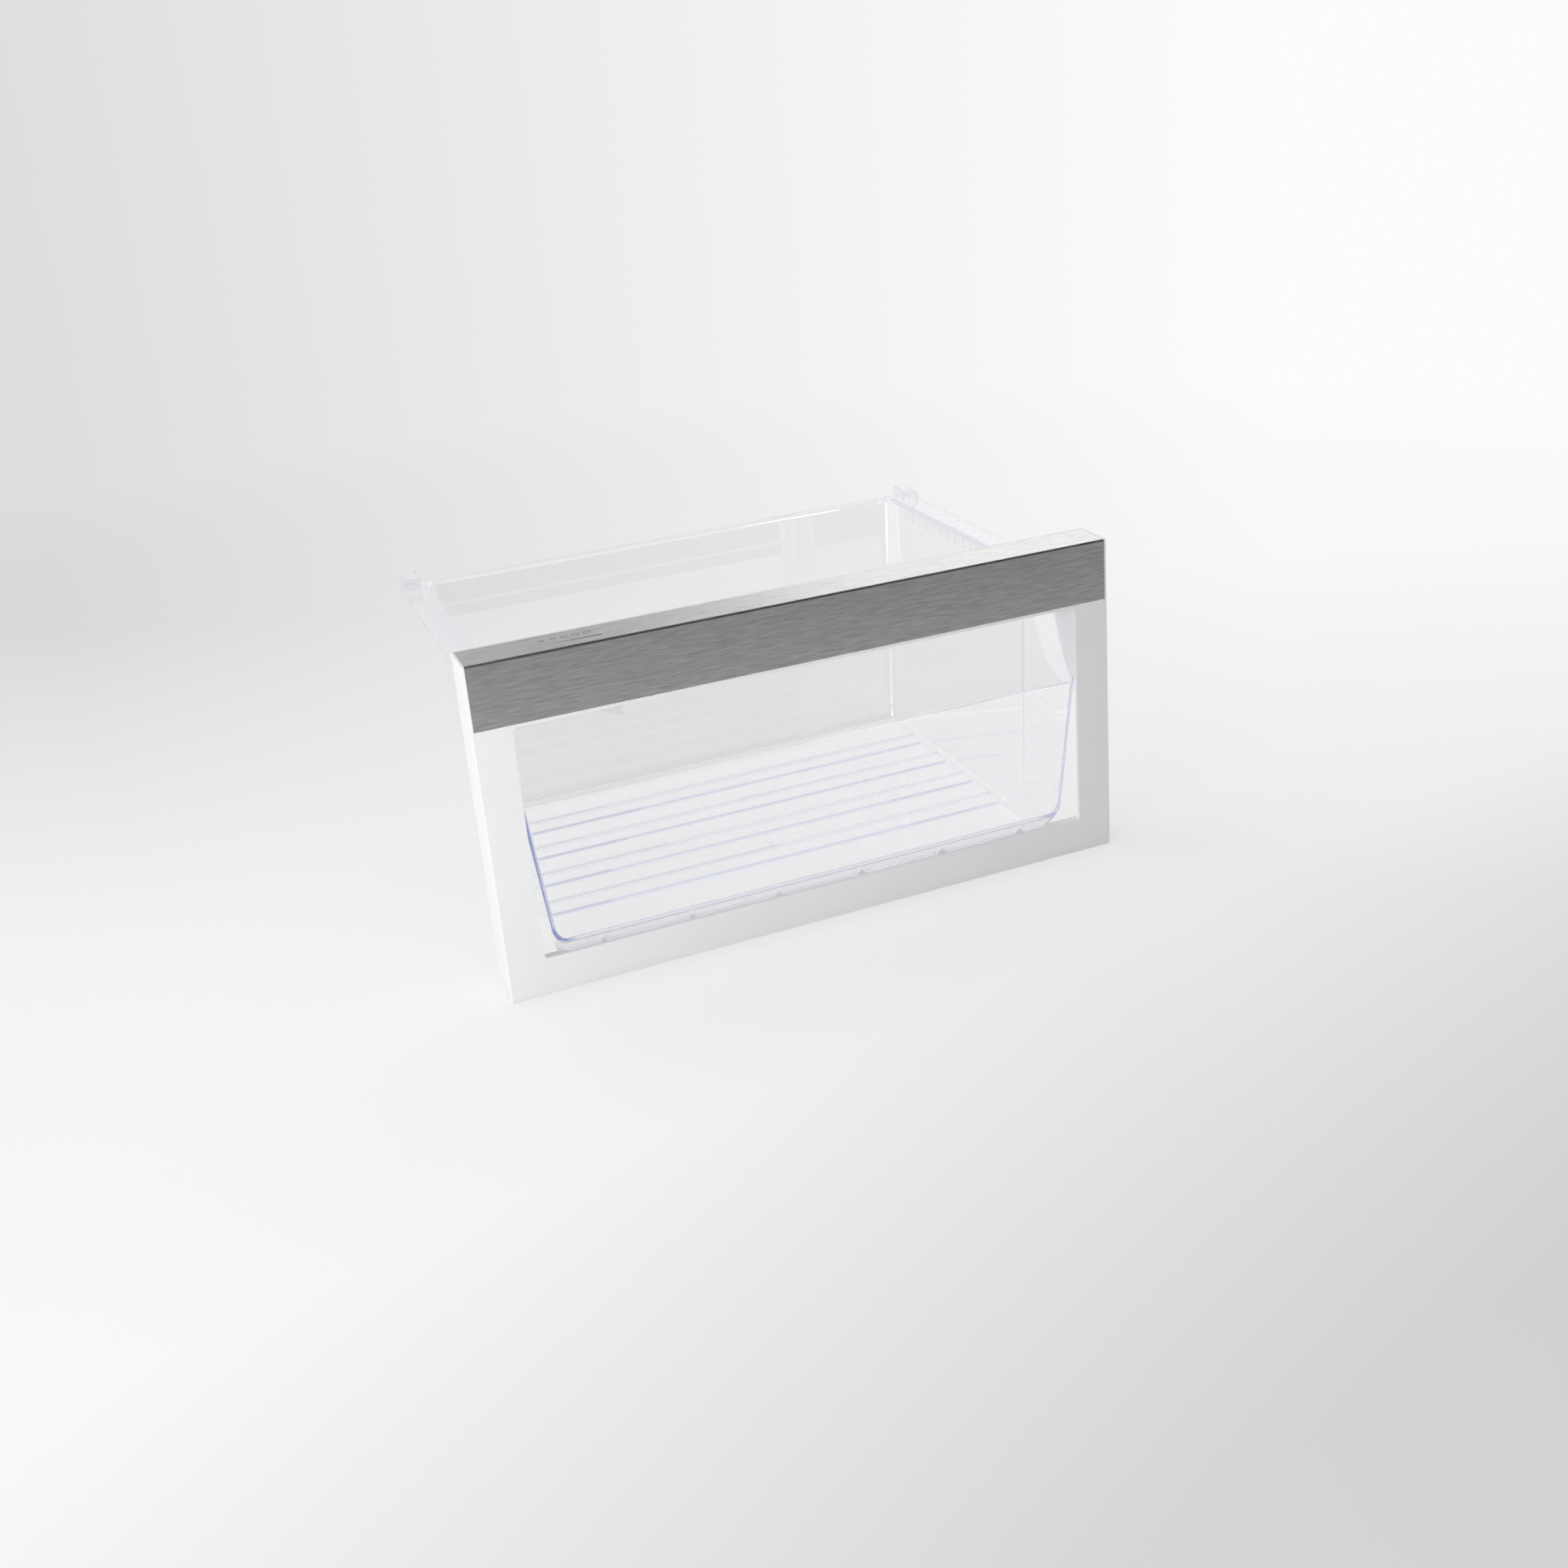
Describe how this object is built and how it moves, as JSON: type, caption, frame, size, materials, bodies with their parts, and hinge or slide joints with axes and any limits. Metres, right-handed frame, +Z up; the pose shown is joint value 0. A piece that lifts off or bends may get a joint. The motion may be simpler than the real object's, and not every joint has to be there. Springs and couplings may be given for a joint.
{
  "type": "fridge crisper drawer",
  "caption": "Clear fridge crisper drawer with a white window frame, a folded steel trim as its grip and a sliding humidity tab, hung by its side flanges.",
  "frame": {"origin": "middle of the footprint, at the height of the front frame's bottom edge", "axes": "+X to the right across the front as seen from the front, +Y from the front to the back, +Z up"},
  "size_m": [0.43, 0.284, 0.223],
  "materials": {
    "clear": "clear moulding, glossy",
    "white": "satin white moulding",
    "steel": "brushed along its length",
    "slider": "pale translucent moulding, satin"
  },
  "bodies": {
    "drawer": {"crisper_tub": "clear", "front_frame": "white", "steel_trim": "steel"},
    "slider": {"humidity_slider": "slider"}
  },
  "joints": [
    {"name": "humidity_slide", "type": "slide", "parent": "drawer", "child": "slider", "axis": [1, 0, 0], "range_m": [-0.028, 0]}
  ]
}
